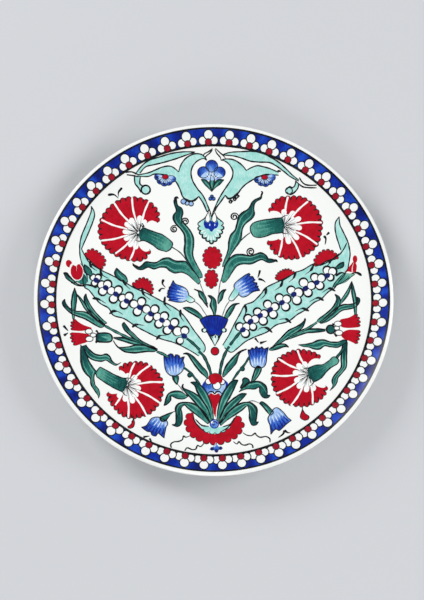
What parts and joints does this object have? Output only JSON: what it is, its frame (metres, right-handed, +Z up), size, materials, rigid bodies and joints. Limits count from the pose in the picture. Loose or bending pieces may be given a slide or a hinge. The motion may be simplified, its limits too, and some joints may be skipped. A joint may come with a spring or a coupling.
{
  "type": "decorative plate",
  "caption": "Round glazed ceramic plate with an upturned rim, painted flowers and leaves in raised enamel, and a foot ring with hanging holes.",
  "frame": {"origin": "centre of the foot ring's resting plane", "axes": "+Z up out of the painted face, +Y towards the top of the painted design, +X to its right"},
  "size_m": [0.3, 0.3, 0.0232],
  "materials": {
    "clay": "matte",
    "white_glaze": "gloss",
    "black_enamel": "gloss",
    "cobalt_enamel": "gloss",
    "sky_enamel": "gloss",
    "coral_enamel": "gloss",
    "green_enamel": "gloss",
    "turquoise_enamel": "gloss",
    "white_enamel": "gloss"
  },
  "bodies": {
    "root": {"dish_body": "clay", "foot_ring": "clay", "face_glaze": "white_glaze", "back_glaze": "white_glaze", "border_outer_line": "black_enamel", "border_cobalt_band": "cobalt_enamel", "border_blossom_hearts": "coral_enamel", "border_inner_line": "black_enamel", "carnation_upper_left": "coral_enamel", "carnation_upper_right": "coral_enamel", "carnation_lower_left": "coral_enamel", "carnation_lower_right": "coral_enamel", "calyx_upper_left": "green_enamel", "calyx_upper_right": "green_enamel", "calyx_lower_left": "green_enamel", "calyx_lower_right": "green_enamel", "feather_leaf_left": "turquoise_enamel", "feather_leaf_right": "turquoise_enamel", "leaf_blossoms_left": "white_enamel", "leaf_blossoms_right": "white_enamel", "leaf_rosettes_left": "coral_enamel", "leaf_rosettes_right": "coral_enamel", "arabesque_left": "turquoise_enamel", "arabesque_right": "turquoise_enamel", "crown_flower": "cobalt_enamel", "pendant_palmette": "turquoise_enamel", "centre_rosettes": "coral_enamel", "centre_bud": "cobalt_enamel", "root_peony": "coral_enamel", "root_collar": "sky_enamel", "tulip_upper_left": "sky_enamel", "tulip_upper_right": "sky_enamel", "tulip_middle_left": "sky_enamel", "tulip_middle_right": "sky_enamel", "tulip_lower_left": "sky_enamel", "tulip_lower_right": "sky_enamel", "side_pink_left": "coral_enamel", "side_pink_right": "coral_enamel", "rosebud_left": "coral_enamel", "rosebud_right": "coral_enamel", "upper_leaves_left": "green_enamel", "upper_leaves_right": "green_enamel", "centre_leaves": "green_enamel", "root_leaves_left": "green_enamel", "root_leaves_right": "green_enamel", "side_leaves_left": "green_enamel", "side_leaves_right": "green_enamel"}
  },
  "joints": []
}
